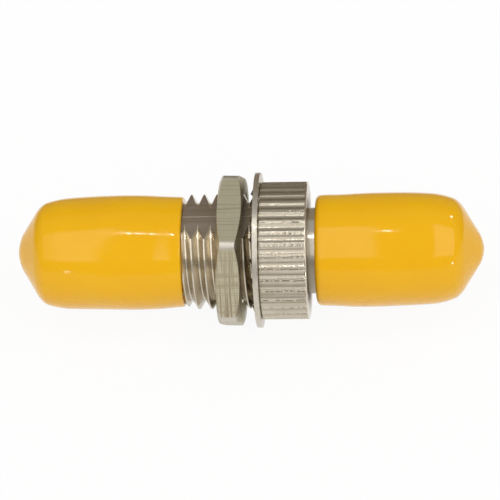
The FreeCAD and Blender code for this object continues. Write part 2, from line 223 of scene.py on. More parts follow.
def turnedNickel():
    look = nickelLook
    material, tree, place = newMaterial("nickel_plated_brass_turned")
    cloud = addNode(
        tree, "ShaderNodeTexNoise", {"Scale": perSize(look["cloud"]), "Detail": 3.0}, {"Vector": place}
    )
    # the rings are about 0.03 mm apart on the real part, and are drawn coarser so that they show
    along, around = perSize(look["ring"]), perSize(look["ringLength"])
    stretch = addNode(tree, "ShaderNodeMapping", {"Scale": (along, around, around)}, {"Vector": place})
    rings = addNode(
        tree, "ShaderNodeTexNoise", {"Scale": 1.0, "Detail": 2.0}, {"Vector": stretch.outputs["Vector"]}
    )
    tint = addNode(
        tree, "ShaderNodeMix",
        {"data_type": "RGBA", 6: hexColor(look["bright"]), 7: hexColor(look["dull"])},
        {0: cloud.outputs["Fac"]},
    )
    # this attribute carries dirt together with painted shade in gaps, flutes and on the underside
    dirtAndShade = addNode(tree, "ShaderNodeAttribute", {"attribute_name": "dirtAndShade"})
    dirtiedAndShaded = addNode(
        tree, "ShaderNodeMix", {"data_type": "RGBA", 7: hexColor(look["dirtAndShade"])},
        {0: dirtAndShade.outputs["Fac"], 6: tint.outputs[2]},
    )
    low, high = look["roughness"]
    rough = addNode(
        tree, "ShaderNodeMapRange", {**noiseSpan, "To Min": low, "To Max": high},
        {"Value": cloud.outputs["Fac"]},
    )
    hazy = addNode(
        tree, "ShaderNodeMix", {3: look["dirtRoughness"]},
        {0: dirtAndShade.outputs["Fac"], 2: rough.outputs["Result"]},
    )
    bump = addNode(
        tree, "ShaderNodeBump", {"Strength": 1.0, "Distance": look["ringDepth"] * mm},
        {"Height": rings.outputs["Fac"]},
    )
    closeMaterial(
        tree, {"Metallic": 1.0},
        {"Base Color": dirtiedAndShaded.outputs[2], "Roughness": hazy.outputs[0], "Normal": bump.outputs["Normal"]},
    )
    return material


# Nickel over a milled flat: an even, dull grey without clear reflections
milledLook = {
    "bright": "#BFB2A2", "dull": "#8B7E6E", "cut": 0.2, "cutLength": 16.667, "cutDepth": 0.01,
    "roughness": 0.46,
}


def milledNickel():
    look = milledLook
    material, tree, place = newMaterial("nickel_plated_brass_milled")
    along, across = perSize(look["cutLength"]), perSize(look["cut"])
    stretch = addNode(tree, "ShaderNodeMapping", {"Scale": (along, across, across)}, {"Vector": place})
    cuts = addNode(
        tree, "ShaderNodeTexNoise", {"Scale": 1.0, "Detail": 3.0}, {"Vector": stretch.outputs["Vector"]}
    )
    tint = addNode(
        tree, "ShaderNodeMix",
        {"data_type": "RGBA", 6: hexColor(look["bright"]), 7: hexColor(look["dull"])},
        {0: cuts.outputs["Fac"]},
    )
    bump = addNode(
        tree, "ShaderNodeBump", {"Strength": 1.0, "Distance": look["cutDepth"] * mm},
        {"Height": cuts.outputs["Fac"]},
    )
    closeMaterial(
        tree, {"Metallic": 1.0, "Roughness": look["roughness"]},
        {"Base Color": tint.outputs[2], "Normal": bump.outputs["Normal"]},
    )
    return material


# Nickel over drawn hexagon bar: duller flats with die lines along the bar, and corners worn bright
barLook = {
    "bright": "#C6BEA3", "dull": "#97856F", "line": "#ADA388", "worn": "#CFC8BB", "grain": 0.2,
    "roughness": (0.38, 0.5), "lineSpacing": 0.62, "lineWidth": 0.05, "lineDepth": 0.004,
    "mark": (0.12, 5.0), "markFrom": 0.45, "markFull": 0.65,
}


def drawnNickel():
    look = barLook
    material, tree, place = newMaterial("nickel_plated_brass_drawn_hexagon")
    across = perSize(look["lineSpacing"])  # the lines don't change along the bar
    stretch = addNode(tree, "ShaderNodeMapping", {"Scale": (0, across, across)}, {"Vector": place})
    cells = addNode(
        tree, "ShaderNodeTexVoronoi", {"feature": "DISTANCE_TO_EDGE", "Scale": 1.0},
        {"Vector": stretch.outputs["Vector"]},
    )
    lines = addNode(
        tree, "ShaderNodeMapRange", {"From Max": look["lineWidth"]},
        {"Value": cells.outputs["Distance"]},
    )
    along, around = (perSize(size) for size in look["mark"])
    squeeze = addNode(tree, "ShaderNodeMapping", {"Scale": (along, around, around)}, {"Vector": place})
    toolMarks = addNode(
        tree, "ShaderNodeTexNoise", {"Scale": 1.0, "Detail": 3.0}, {"Vector": squeeze.outputs["Vector"]}
    )
    tooled = addNode(tree, "ShaderNodeAttribute", {"attribute_name": "tooled"})
    marked = addNode(
        tree, "ShaderNodeMapRange", {"From Min": look["markFrom"], "From Max": look["markFull"]},
        {"Value": toolMarks.outputs["Fac"], "To Max": tooled.outputs["Fac"]},
    )
    grain = addNode(
        tree, "ShaderNodeTexNoise", {"Scale": perSize(look["grain"]), "Detail": 4.0}, {"Vector": place}
    )
    tint = addNode(
        tree, "ShaderNodeMix",
        {"data_type": "RGBA", 6: hexColor(look["bright"]), 7: hexColor(look["dull"])},
        {0: marked.outputs["Result"]},
    )
    lined = addNode(
        tree, "ShaderNodeMix", {"data_type": "RGBA", 6: hexColor(look["line"])},
        {0: lines.outputs["Result"], 7: tint.outputs[2]},
    )
    worn = addNode(tree, "ShaderNodeAttribute", {"attribute_name": "worn"})
    rubbed = addNode(
        tree, "ShaderNodeMix", {"data_type": "RGBA", 7: hexColor(look["worn"])},
        {0: worn.outputs["Fac"], 6: lined.outputs[2]},
    )
    low, high = look["roughness"]
    rough = addNode(
        tree, "ShaderNodeMapRange", {**noiseSpan, "To Min": low, "To Max": high},
        {"Value": grain.outputs["Fac"]},
    )
    bump = addNode(
        tree, "ShaderNodeBump", {"Strength": 1.0, "Distance": look["lineDepth"] * mm},
        {"Height": lines.outputs["Result"]},
    )
    closeMaterial(
        tree, {"Metallic": 1.0},
        {
            "Base Color": rubbed.outputs[2], "Roughness": rough.outputs["Result"],
            "Normal": bump.outputs["Normal"],
        },
    )
    return material


# Nickel over stamped spring steel: satin, with the fine grain of rolled sheet
stampedLook = {
    "bright": "#DDD6C9", "dull": "#B8AF9E", "grain": 0.3, "grainDepth": 0.004, "roughness": (0.24, 0.4),
}


def stampedNickel():
    look = stampedLook
    material, tree, place = newMaterial("nickel_plated_steel_stamped")
    grain = addNode(
        tree, "ShaderNodeTexNoise", {"Scale": perSize(look["grain"]), "Detail": 4.0}, {"Vector": place}
    )
    tint = addNode(
        tree, "ShaderNodeMix",
        {"data_type": "RGBA", 6: hexColor(look["bright"]), 7: hexColor(look["dull"])},
        {0: grain.outputs["Fac"]},
    )
    low, high = look["roughness"]
    rough = addNode(
        tree, "ShaderNodeMapRange", {**noiseSpan, "To Min": low, "To Max": high},
        {"Value": grain.outputs["Fac"]},
    )
    bump = addNode(
        tree, "ShaderNodeBump", {"Strength": 1.0, "Distance": look["grainDepth"] * mm},
        {"Height": grain.outputs["Fac"]},
    )
    closeMaterial(
        tree, {"Metallic": 1.0},
        {
            "Base Color": tint.outputs[2], "Roughness": rough.outputs["Result"],
            "Normal": bump.outputs["Normal"],
        },
    )
    return material


# Phosphor bronze tube, drawn: fine lines along its length
bronzeLook = {
    "bright": "#D9A36A", "dull": "#B47C46", "line": 0.12, "lineLength": 12.5, "lineDepth": 0.003,
    "roughness": 0.28,
}


def drawnBronze():
    look = bronzeLook
    material, tree, place = newMaterial("phosphor_bronze_drawn")
    along, across = perSize(look["lineLength"]), perSize(look["line"])
    stretch = addNode(tree, "ShaderNodeMapping", {"Scale": (along, across, across)}, {"Vector": place})
    lines = addNode(
        tree, "ShaderNodeTexNoise", {"Scale": 1.0, "Detail": 2.0}, {"Vector": stretch.outputs["Vector"]}
    )
    tint = addNode(
        tree, "ShaderNodeMix",
        {"data_type": "RGBA", 6: hexColor(look["bright"]), 7: hexColor(look["dull"])},
        {0: lines.outputs["Fac"]},
    )
    bump = addNode(
        tree, "ShaderNodeBump", {"Strength": 1.0, "Distance": look["lineDepth"] * mm},
        {"Height": lines.outputs["Fac"]},
    )
    closeMaterial(
        tree, {"Metallic": 1.0, "Roughness": look["roughness"]},
        {"Base Color": tint.outputs[2], "Normal": bump.outputs["Normal"]},
    )
    return material


# Plasticised vinyl, dip moulded: glossy, slightly translucent skin with a soft unevenness
vinylLook = {
    "bright": "#EFB703", "deep": "#EAAC02", "cloud": 5.0, "skin": 0.9, "skinDepth": 0.006,
    "roughness": (0.07, 0.13), "ior": 1.38, "glow": 0.12, "glowDepth": 0.5, "glowTint": (1.0, 0.5, 0.1),
}


def dippedVinyl():
    look = vinylLook
    material, tree, place = newMaterial("yellow_vinyl_dip_moulded")
    cloud = addNode(
        tree, "ShaderNodeTexNoise", {"Scale": perSize(look["cloud"]), "Detail": 2.0}, {"Vector": place}
    )
    skin = addNode(
        tree, "ShaderNodeTexNoise", {"Scale": perSize(look["skin"]), "Detail": 2.0}, {"Vector": place}
    )
    tint = addNode(
        tree, "ShaderNodeMix",
        {"data_type": "RGBA", 6: hexColor(look["bright"]), 7: hexColor(look["deep"])},
        {0: cloud.outputs["Fac"]},
    )
    low, high = look["roughness"]
    rough = addNode(
        tree, "ShaderNodeMapRange", {**noiseSpan, "To Min": low, "To Max": high},
        {"Value": skin.outputs["Fac"]},
    )
    bump = addNode(
        tree, "ShaderNodeBump", {"Strength": 1.0, "Distance": look["skinDepth"] * mm},
        {"Height": skin.outputs["Fac"]},
    )
    closeMaterial(
        tree,
        {
            "IOR": look["ior"], "Subsurface Weight": look["glow"],
            "Subsurface Scale": look["glowDepth"] * mm, "Subsurface Radius": look["glowTint"],
        },
        {
            "Base Color": tint.outputs[2], "Roughness": rough.outputs["Result"],
            "Normal": bump.outputs["Normal"],
        },
    )
    return material


nickel = turnedNickel()
milled = milledNickel()
barNickel = drawnNickel()
sheetNickel = stampedNickel()
bronze = drawnBronze()
vinyl = dippedVinyl()
print("materials ready")

# The two ends are alike: a barrel with two lugs, a keyway and a stepped bore for the plug
port = {
    "barrel": 3.575, "socket": 2.5, "hole": 1.45, "cavity": 1.7, "socketDepth": 7.97, "lip": 2.1,
    "leadIn": 0.35, "edge": 0.2, "lugRadius": 0.75, "lugHeight": 0.55, "lugEdge": 0.15, "lugFromRim": 4.3,
    "lugSteps": 40, "lugEdgeSegments": 3, "keyWidth": 1.0, "keyDepth": 2.6,
}


def portProfile(rim, inward):  # from the sleeve's cavity, out through the bore and over the rim
    floor = rim + inward * port["socketDepth"]
    cavity = floor + inward * port["lip"]
    edge = port["edge"]
    return [
        (cavity, port["cavity"]),
        (cavity, port["hole"]),
        (floor + inward * port["leadIn"], port["hole"]),
        (floor, port["hole"] + port["leadIn"]),
        (floor, port["socket"]),
        (rim + inward * edge, port["socket"]),
        (rim, port["socket"] + edge),
        (rim, port["barrel"] - edge),
        (rim + inward * edge, port["barrel"]),
    ]


def addBayonet(bm, rim, inward):  # two lugs on the Y axis and the keyway on top
    root = (port["socket"] + port["barrel"]) / 2
    tip = port["barrel"] + port["lugHeight"]
    lugs = bmesh.new()
    bmesh.ops.create_cone(
        lugs, cap_ends=True, segments=port["lugSteps"], radius1=port["lugRadius"] * mm,
        radius2=port["lugRadius"] * mm, depth=(tip - root) * mm,
    )
    top = max(lugs.faces, key=lambda face: face.calc_center_median().z)
    bmesh.ops.bevel(
        lugs, geom=list(top.edges), affect="EDGES", offset=port["lugEdge"] * mm,
        segments=port["lugEdgeSegments"], profile=0.5, material=-1,
    )
    bmesh.ops.translate(lugs, verts=lugs.verts, vec=(0, 0, (tip + root) / 2 * mm))
    bmesh.ops.rotate(lugs, verts=lugs.verts, cent=(0, 0, 0), matrix=Matrix.Rotation(math.pi / 2, 3, "X"))
    bmesh.ops.mirror(lugs, geom=allGeom(lugs), axis="Y", merge_dist=0)
    bmesh.ops.translate(lugs, verts=lugs.verts, vec=((rim + inward * port["lugFromRim"]) * mm, 0, 0))
    bm = combine(bm, lugs, "UNION")
    key = bmesh.new()
    bmesh.ops.create_cube(key, size=1)
    reach = port["barrel"] + 1  # from the axis to past the wall
    size = Vector((2 * port["keyDepth"], port["keyWidth"], reach))
    bmesh.ops.scale(key, verts=key.verts, vec=size * mm)
    bmesh.ops.translate(key, verts=key.verts, vec=(rim * mm, 0, reach / 2 * mm))
    return combine(bm, key, "DIFFERENCE")


# Front half of the body: bayonet barrel, threaded shank with a D-flat, and the spigot inside the collar
shank = {
    "pitch": 25.4 / 24, "root": 4.05, "crestFlat": 0.11, "rootFlat": 0.1, "crestAtTop": -5.77,
    "threadEnd": -6.5, "leadIn": 0.45, "relief": 0.7, "reliefRadius": 4.0, "spigot": 3.9,
    "spareTurns": 3, "steps": 192, "flankCuts": 3,
    "flatHeight": 3.95, "flatFacing": 0.8, "cutRidge": 0.03, "cutRidgeWidth": 0.12,
    # the thread darker beside the collar and underneath is painted shade
    "seatShade": 0.22, "seatShadeSpan": (-2.0, -1.2), "underShade": 0.22, "underShadeSpan": (150, 190),
}


def atStation(bm, x):  # open edges that lie in the plane at x
    return [
        edge for edge in bm.edges
        if edge.is_boundary and all(abs(vert.co.x - x * mm) < mergeGap for vert in edge.verts)
    ]


def onFlat(centre, normal):
    return normal.z > shank["flatFacing"] and abs(centre.z / mm - shank["flatHeight"]) < shank["cutRidge"]


def shankPaintedShade(co):  # painted shade, darker beside the collar and underneath
    beside = shank["seatShade"] * fade(co.x / mm, *shank["seatShadeSpan"])
    under = shank["underShade"] * fade(aroundAxis(co)[0], *shank["underShadeSpan"])
    return max(beside, under)


def threadedShank():
    low, high = spanOf("threaded_body")
    crest, pitch = high.y, shank["pitch"]
    left, right = shank["threadEnd"], -shank["relief"]
    bm = bmesh.new()
    # a zigzag that climbs one pitch in a full turn closes on itself
    zigzag = []
    turns = math.ceil((right - shank["crestAtTop"]) / pitch)
    for k in range(-shank["spareTurns"], turns + shank["spareTurns"]):
        top = shank["crestAtTop"] + k * pitch
        foot = top + pitch / 2
        zigzag += [(top + side * shank["crestFlat"] / 2, crest) for side in (-1, 1)]
        zigzag += [(foot + side * shank["rootFlat"] / 2, shank["root"]) for side in (-1, 1)]
    edges = drawProfile(bm, zigzag)[1]
    flanks = [edge for edge in edges if abs(edge.verts[0].co.z - edge.verts[1].co.z) > mergeGap]
    bmesh.ops.subdivide_edges(bm, edges=flanks, cuts=shank["flankCuts"])
    bmesh.ops.spin(
        bm, geom=bm.verts[:] + bm.edges[:], cent=(0, 0, 0), axis=(1, 0, 0),
        dvec=(pitch / shank["steps"] * mm, 0, 0), angle=math.tau, steps=shank["steps"],
    )
    bmesh.ops.remove_doubles(bm, verts=bm.verts, dist=mergeGap)
    for vert in bm.verts:  # the first thread runs out on a chamfer
        limit = crest - shank["leadIn"] + max(0, vert.co.x / mm - left)
        if aroundAxis(vert.co)[1] > limit:
            setRadius(vert, limit)
    for x, facing in ((left, -1), (right, 1)):
        bmesh.ops.bisect_plane(
            bm, geom=allGeom(bm), dist=cutGap, plane_co=(x * mm, 0, 0), plane_no=(facing, 0, 0),
            clear_outer=True,
        )
    edge = port["edge"]
    profile = [
        (right, shank["reliefRadius"]),
        (0, shank["reliefRadius"]),
        (0, shank["spigot"]),
        (high.x - edge, shank["spigot"]),
        (high.x, shank["spigot"] - edge),
        (high.x, port["cavity"]),
    ]
    profile += portProfile(low.x, 1) + [(left, port["barrel"])]
    verts, edges = drawProfile(bm, profile)
    turnProfile(bm, verts + edges, shank["steps"])
    bmesh.ops.remove_doubles(bm, verts=bm.verts, dist=cutGap)
    for x in (left, right):
        bmesh.ops.bridge_loops(bm, edges=atStation(bm, x))
    bmesh.ops.recalc_face_normals(bm, faces=bm.faces)
    bmesh.ops.bisect_plane(
        bm, geom=allGeom(bm), dist=cutGap, plane_co=(0, 0, shank["flatHeight"] * mm),
        plane_no=(0, 0, 1), clear_outer=True,
    )
    bmesh.ops.holes_fill(bm, edges=[edge for edge in bm.edges if edge.is_boundary], sides=0)
    bm.normal_update()
    # two passes of the cutter leave a fine ridge along the middle of the flat
    for y in (-shank["cutRidgeWidth"] / 2, 0, shank["cutRidgeWidth"] / 2):
        parts = [face for face in bm.faces if onFlat(face.calc_center_median(), face.normal)]
        geom = {elem for face in parts for elem in (face, *face.edges, *face.verts)}
        bmesh.ops.bisect_plane(
            bm, geom=list(geom), dist=cutGap, plane_co=(0, y * mm, 0), plane_no=(0, 1, 0)
        )
    for vert in bm.verts:
        if abs(vert.co.y) < mergeGap and abs(vert.co.z - shank["flatHeight"] * mm) < mergeGap:
            vert.co.z += shank["cutRidge"] * mm
    bm = addBayonet(bm, low.x, 1)
    piece = finishMesh(bm, "threaded_shank")
    mark(piece, "dirtAndShade", shankPaintedShade)
    dress(piece, nickel, "adapter", "threaded_body")
    piece.data.materials.append(milled)
    for face in piece.data.polygons:
        face.material_index = int(onFlat(face.center, face.normal))


# Rear half of the body: collar with a straight knurl, and the other bayonet barrel
collar = {
    "edge": 0.05, "lip": 0.09, "runOut": 0.08, "capGap": 0.61, "seatRim": 0.08, "seatRimWidth": 0.24,
    "spigotBore": 3.91, "spigotFloor": 3.0,
    "knurls": 36, "depth": 0.115, "skin": 0.2, "crown": 0.02, "crestWidth": 0.36, "crestAt": 1.8,
    "rows": 72, "stepsPerKnurl": 24, "seed": 4,
    "seamDepth": 0.05, "seamWidth": 0.06, "seamAt": 0.05, "seamLeast": 0.15,
    "wander": 0.06, "wanderRate": 1.1, "wanderStep": 5.1,
    "pitSpacing": 0.2, "pitStep": 3.7, "pitLayer": 4, "pitSpan": (0.05, 0.6), "pitSpread": 0.2,
    "pitTowardsEnd": 0.3,
    # the flutes darker, more so towards the underside, and the knurl's top, the end face and the barrel
    # underneath darker, are painted shade
    "pitsAndShade": 0.3, "pitsAndShadeAt": 200, "fluteShade": 1.1,
    "haze": 0.18, "topHazeAndShade": 0.2, "topHazeAndShadeSpan": (80, 125), "faceDullAndShade": (0.6, 0.9),
    "barrelShade": 0.55, "underSpan": (132, 162),
}


def knurlOffset(angle, x, outer, end, strengths):  # depth below the collar's outside, and its dirt with painted shade
    period = 360 / collar["knurls"]
    index = round((angle - collar["crestAt"]) / period) % collar["knurls"]
    off = (angle - collar["crestAt"] + period / 2) % period - period / 2
    across = math.radians(off) * outer  # millimetres from the middle of the crest
    halfCrest, halfPeriod = collar["crestWidth"] / 2, math.radians(period / 2) * outer
    toEdge = min(1, (halfPeriod - abs(across)) / (halfPeriod - halfCrest))  # 0 in the middle of a flute
    drop = collar["depth"] * (1 - toEdge ** 2) + collar["crown"] * min(1, abs(across) / halfCrest) ** 2
    # each crest is closed by two rolled-up edges, which leave a pitted seam between them
    wander = noise.noise(Vector((x * collar["wanderRate"], index * collar["wanderStep"], 0)))
    pits = noise.noise(Vector((x / collar["pitSpacing"], index * collar["pitStep"], collar["pitLayer"])))
    broken = fade(pits + strengths[index] + collar["pitTowardsEnd"] * x / end, *collar["pitSpan"])
    across -= collar["seamAt"] + collar["wander"] * wander
    least = collar["seamLeast"]
    seam = (least + (1 - least) * broken) * math.exp(-((across / collar["seamWidth"]) ** 2))
    plain = end - collar["lip"]
    runOut = 1 - fade(x, plain - collar["runOut"], plain)
    # haze dulls the whole knurl, and the extra towards the top is painted shade with more roughness
    haze = collar["haze"] + collar["topHazeAndShade"] * (1 - fade(angle, *collar["topHazeAndShadeSpan"]))
    # the flute hollows are darkened as painted shade
    dullAndShaded = haze + collar["fluteShade"] * max(0, strengths[index]) * (1 - toEdge) ** 2
    # the pitted seam is darkened as dirt together with painted shade
    return (drop + collar["seamDepth"] * seam) * runOut, max(seam * broken, dullAndShaded) * runOut


def collarDirtAndShade(co, outer, end, strengths):
    angle, radius = aroundAxis(co)
    if radius > outer - collar["skin"]:
        return knurlOffset(angle, co.x / mm, outer, end, strengths)[1]
    if abs(co.x / mm - end) > collar["edge"] / 2:
        return 0
    # painted shade: the end face is dull and darker, more so underneath, and the barrel in its middle is
    # darker only underneath
    under = fade(angle, *collar["underSpan"])
    if radius > port["barrel"] + collar["edge"] / 2:
        above, below = collar["faceDullAndShade"]
        return above + (below - above) * under
    return collar["barrelShade"] * under


def knurledCollar():
    high = spanOf("knurled_body")[1]
    outer, edge = high.y, collar["edge"]
    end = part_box("right_dust_cap")[0].x / mm - collar["capGap"]
    bm = bmesh.new()
    seat = outer - collar["seatRimWidth"]
    profile = [
        (collar["spigotFloor"], collar["spigotBore"]),
        (0, collar["spigotBore"]),
        (0, seat),
        (-collar["seatRim"], seat),
        (-collar["seatRim"], outer - edge),
        (edge - collar["seatRim"], outer),
        (end - edge, outer),
        (end, outer - edge),
        (end, port["barrel"] + edge),
        (end, port["barrel"]),
    ]
    backwards = portProfile(high.x, -1)[::-1]
    knurled = profile.index((edge - collar["seatRim"], outer))
    profile += backwards + [(collar["spigotFloor"], port["cavity"])]
    edges = drawProfile(bm, profile, closed=True)[1]
    bmesh.ops.subdivide_edges(bm, edges=[edges[knurled]], cuts=collar["rows"])
    turnProfile(bm, bm.verts[:] + bm.edges[:], collar["knurls"] * collar["stepsPerKnurl"])
    bmesh.ops.remove_doubles(bm, verts=bm.verts, dist=mergeGap)
    chance = random.Random(collar["seed"])
    # each flute gets its own amount of pitting and darkening, more of both towards the underside, where the
    # darkening is painted shade
    strengths = []
    for k in range(collar["knurls"]):
        under = math.cos(math.tau * k / collar["knurls"] - math.radians(collar["pitsAndShadeAt"]))
        spread = chance.uniform(-collar["pitSpread"], collar["pitSpread"])
        strengths.append(spread + collar["pitsAndShade"] * under)
    for vert in bm.verts:
        angle, radius = aroundAxis(vert.co)
        if radius > outer - collar["skin"]:
            drop = knurlOffset(angle, vert.co.x / mm, outer, end, strengths)[0]
            setRadius(vert, min(radius, outer - drop))
    bm = addBayonet(bm, high.x, -1)
    piece = finishMesh(bm, "knurled_collar")
    mark(piece, "dirtAndShade", lambda co: collarDirtAndShade(co, outer, end, strengths))
    dress(piece, nickel, "adapter", "knurled_body")


# Panel nut: hexagon with both faces chamfered and corners slightly worn, a little askew on its thread
nut = {
    "acrossFlats": 12.0, "cornerAt": 12.5, "cornerRound": 0.66, "chamferStart": 0.1, "chamferAngle": 24,
    "bore": 4.8125, "countersink": 0.25, "steps": 720, "wearWidth": 0.42, "wearBlur": 0.2,
    "lean": 1.4, "leanAbout": 136.8, "tooled": (0.5, 0.05, 0.9, 0.3, 0.7, 0.2),
}


def hexRadius(angle):  # distance from the axis to the hexagon's side, with rounded corners
    half = nut["acrossFlats"] / 2
    off = (angle - nut["cornerAt"] + 30) % 60 - 30
    centre = (half - nut["cornerRound"]) / math.cos(math.radians(30))
    sideways = centre * math.sin(math.radians(off))
    if abs(sideways) < nut["cornerRound"] / 2:  # the rounding turns 30 degrees to each side
        return centre * math.cos(math.radians(off)) + math.sqrt(nut["cornerRound"] ** 2 - sideways ** 2)
    return half / math.cos(math.radians(30 - abs(off)))


def cornerWear(angle, radius):
    sideways = radius * math.sin(math.radians((angle - nut["cornerAt"] + 30) % 60 - 30))
    onSide = radius > nut["acrossFlats"] / 2 - nut["chamferStart"] / 2
    return onSide * (1 - fade(abs(sideways), nut["wearWidth"] - nut["wearBlur"], nut["wearWidth"]))


def toolMarking(angle):  # each flat is marked by the tool to its own degree
    return nut["tooled"][int((angle - nut["cornerAt"]) % 360 // 60)]


def panelNut():
    low, high = spanOf("hex_nut")
    flatEdge = nut["acrossFlats"] / 2 - nut["chamferStart"]
    outer = nut["acrossFlats"]  # well outside, before it is pulled in to the hexagon
    bore, sink = nut["bore"], nut["countersink"]
    bm = bmesh.new()
    verts, edges = drawProfile(bm, [
        (low.x, bore + sink), (low.x, flatEdge), (low.x, outer), (high.x, outer), (high.x, flatEdge),
        (high.x, bore + sink), (high.x - sink, bore), (low.x + sink, bore),
    ], closed=True)
    turnProfile(bm, verts + edges, nut["steps"])
    bmesh.ops.remove_doubles(bm, verts=bm.verts, dist=mergeGap)
    middle = (low.x + high.x) / 2 * mm
    slope = math.tan(math.radians(nut["chamferAngle"]))
    for vert in bm.verts:
        angle, radius = aroundAxis(vert.co)
        if radius > flatEdge + touching:
            radius = hexRadius(angle)
            setRadius(vert, radius)
            inward = 1 if vert.co.x < middle else -1
            vert.co.x += inward * (radius - flatEdge) * slope * mm
    lean = Matrix.Rotation(math.radians(-nut["lean"]), 3, awayFromAxis(nut["leanAbout"]))
    bmesh.ops.rotate(bm, verts=bm.verts, cent=(middle, 0, 0), matrix=lean)
    piece = finishMesh(bm, "panel_nut")
    mark(piece, "worn", lambda co: cornerWear(*aroundAxis(co)))
    mark(piece, "tooled", lambda co: toolMarking(aroundAxis(co)[0]))
    dress(piece, barNickel, "nut", "hex_nut")


# Lock washer: the stamped ring and its twisted teeth, with softened edges
washer = {"edge": 0.035, "edgeSegments": 2, "edgeAngle": 35, "slip": 0.07, "slipTo": 46.8}


def toothWasher():
    bm = bmesh.new()
    bm.from_mesh(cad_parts["lock_washer"].data)
    slip = awayFromAxis(washer["slipTo"]) * washer["slip"] * mm
    bmesh.ops.translate(bm, verts=bm.verts, vec=slip)  # it lies loose, a little off the middle
    piece = finishMesh(bm, "tooth_washer")
    soften = piece.modifiers.new("soften", "BEVEL")
    soften.width = washer["edge"] * mm
    soften.segments = washer["edgeSegments"]
    soften.limit_method = "ANGLE"
    soften.angle_limit = math.radians(washer["edgeAngle"])
    dress(piece, sheetNickel, "washer", "lock_washer")


# Dust caps: soft sleeves with a barrelled side, a round shoulder, a coned end and a blunt nose
cap = {
    "bore": 3.62, "mouth": 4.565, "hollowDepth": 10.65, "hollowTip": 0.4, "endWall": 1.0,
    "slant": (0.7, 0.5), "steps": 160,
    "lipSegments": 6, "cornerSegments": 10, "noseRound": 0.98, "longestEdge": 0.5,
    "lumpSize": 5.0, "lumpSpan": (0.4, 2.5), "lugSwell": 0.06, "lugSpread": 1.3, "degreesPerMm": 12,
    "leanAt": 46.8, "leanReach": 2.6,
    "belly": (7.8, 4.87, 3.4), "shoulder": (3.34, 4.55, 0.9),  # from the tip, radius, length rounded off
}
# no two dipped caps are quite alike
leftCap = {
    "short": 0.0, "lip": 0.2, "cheek": (1.99, 4.08, 0.7), "nose": 0.88, "lean": 0.08,
    "lumps": 0.12, "seed": 0.7,
}
rightCap = {
    "short": 0.05, "lip": 0.42, "cheek": (1.99, 4.0, 0.7), "nose": 0.74, "lean": -0.05,
    "lumps": 0.1, "seed": 28.0,
}


def inHollow(fromMouth, radius, length):  # a slant through the end wall parts the hollow from the outside
    start, slope = cap["slant"]
    return radius < cap["bore"] + touching and length - fromMouth >= start * cap["endWall"] + slope * radius


def dustCap(name, node, body, own, outward):
    low, high = spanOf(node)
    length = high.x - low.x - own["short"]
    mouth = low.x if outward > 0 else high.x
    top = length - cap["endWall"]
    nose = (0, own["nose"], own["nose"] * cap["noseRound"])
    corners = [cap["belly"], cap["shoulder"], own["cheek"], nose]
    bm = bmesh.new()
    profile = [(top, 0), (top, cap["hollowTip"]), (cap["hollowDepth"], cap["bore"]), (0, cap["bore"])]
    profile += [(0, cap["mouth"])] + [(length - fromTip, radius) for fromTip, radius, _ in corners]
    drawProfile(bm, profile + [(length, 0)])
    roundCorner(bm, 0, cap["mouth"], own["lip"], cap["lipSegments"])
    for fromTip, radius, cut in corners:
        roundCorner(bm, length - fromTip, radius, cut, cap["cornerSegments"])
    longEdges = True
    while longEdges:
        longEdges = [edge for edge in bm.edges if edge.calc_length() > cap["longestEdge"] * mm]
        bmesh.ops.subdivide_edges(bm, edges=longEdges, cuts=1)
    turnProfile(bm, bm.verts[:] + bm.edges[:], cap["steps"])
    bmesh.ops.remove_doubles(bm, verts=bm.verts, dist=mergeGap)
    if outward < 0:
        bmesh.ops.rotate(bm, verts=bm.verts, cent=(0, 0, 0), matrix=Matrix.Rotation(math.pi, 3, "Z"))
    lean = awayFromAxis(cap["leanAt"]) * own["lean"] * mm
    lugAt = cap["hollowDepth"] - port["lugFromRim"]
    for vert in bm.verts:
        angle, radius = aroundAxis(vert.co)
        fromMouth = abs(vert.co.x) / mm
        if radius > touching and not inHollow(fromMouth, radius, length):
            away = Vector((0, vert.co.y, vert.co.z)).normalized()
            spot = vert.co / (cap["lumpSize"] * mm) + Vector((own["seed"], 0, 0))
            push = own["lumps"] * noise.noise(spot) * fade(fromMouth, *cap["lumpSpan"])
            fromLug = min(angle % 180, 180 - angle % 180) / cap["degreesPerMm"]
            lugAway = math.hypot(fromMouth - lugAt, fromLug)
            push += cap["lugSwell"] * math.exp(-(lugAway / cap["lugSpread"]) ** 2)
            vert.co += away * push * mm
        vert.co += lean * fade(fromMouth, length - cap["leanReach"], length)
    bmesh.ops.translate(bm, verts=bm.verts, vec=(mouth * mm, 0, 0))
    dress(finishMesh(bm, name), vinyl, body, node)


threadedShank()
knurledCollar()
panelNut()
toothWasher()
dustCap("left_cap_skin", "left_dust_cap", "left_cap", leftCap, -1)
dustCap("right_cap_skin", "right_dust_cap", "right_cap", rightCap, 1)
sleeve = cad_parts["alignment_sleeve"]
sleeve.data.materials.clear()
sleeve.data.materials.append(bronze)
print("pieces ready")

# Studio: pale floor, soft boxes left and right, small lamps for glints, a grey card behind for the metal
studio = {
    "floorSize": 8000, "floorColor": "#F4F4F2", "shadowShare": 0.07,
    "world": "#FFFFFF", "worldLevel": 0.48,
}


